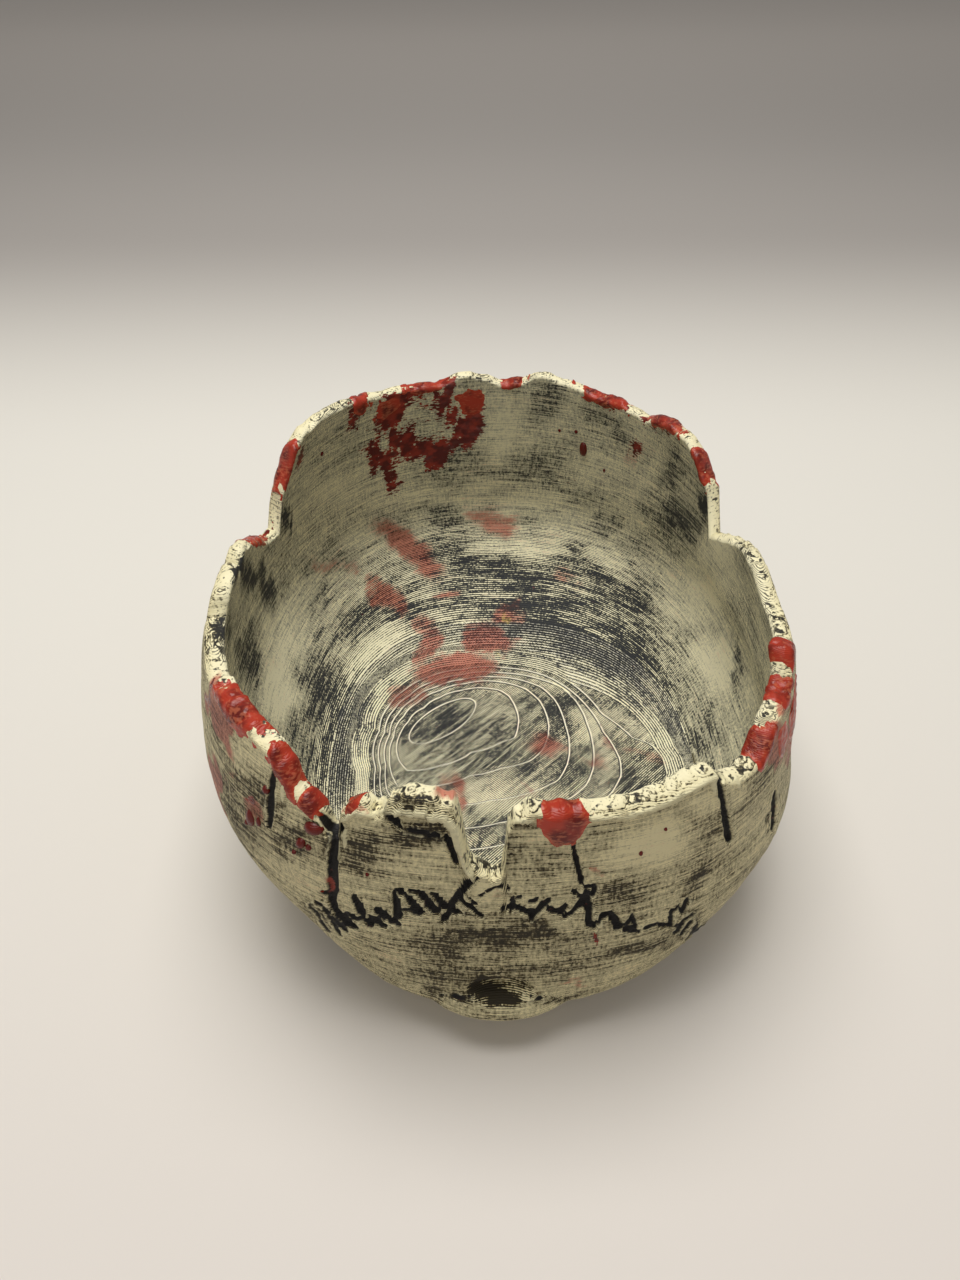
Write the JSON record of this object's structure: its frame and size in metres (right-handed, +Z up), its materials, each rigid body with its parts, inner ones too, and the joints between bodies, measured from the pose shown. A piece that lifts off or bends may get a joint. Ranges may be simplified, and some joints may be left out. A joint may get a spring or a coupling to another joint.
{
  "type": "skull bowl",
  "caption": "Small upright bowl shaped like a skull with its crown broken away, with a jagged rim and thick glossy paint runs on the break.",
  "frame": {"origin": "on the flat underside, on the head's middle plane and 12 mm towards the forehead from the widest section", "axes": "+Z up out of the bowl, +Y from the back of the head to the forehead, +X to the right of someone who looks along +Y"},
  "size_m": [0.1034, 0.1281, 0.0631],
  "materials": {
    "shell": "printed plastic with fine layer lines, dry-brushed bone cream over a dark grey wash",
    "blood_paint": "thick clear-coated dark red paint, wet looking"
  },
  "bodies": {
    "root": {"skull_shell": "shell", "front_drip": "blood_paint", "right_rim_patch": "blood_paint", "right_side_run": "blood_paint", "right_back_run": "blood_paint", "right_ridge_run": "blood_paint", "right_knob_run": "blood_paint", "right_bay_run": "blood_paint", "right_brow_run": "blood_paint", "brow_right_run": "blood_paint", "brow_dip_run": "blood_paint", "brow_splash": "blood_paint", "brow_left_run": "blood_paint", "brow_left_pool": "blood_paint", "left_corner_run": "blood_paint", "left_bay_run": "blood_paint", "left_shoulder_run": "blood_paint", "left_band": "blood_paint", "left_rim_run": "blood_paint", "left_clot": "blood_paint", "left_tip_run": "blood_paint", "drop_by_crack": "blood_paint", "drop_left_of_crack": "blood_paint", "drop_left_low": "blood_paint", "drop_inside": "blood_paint"}
  },
  "joints": []
}
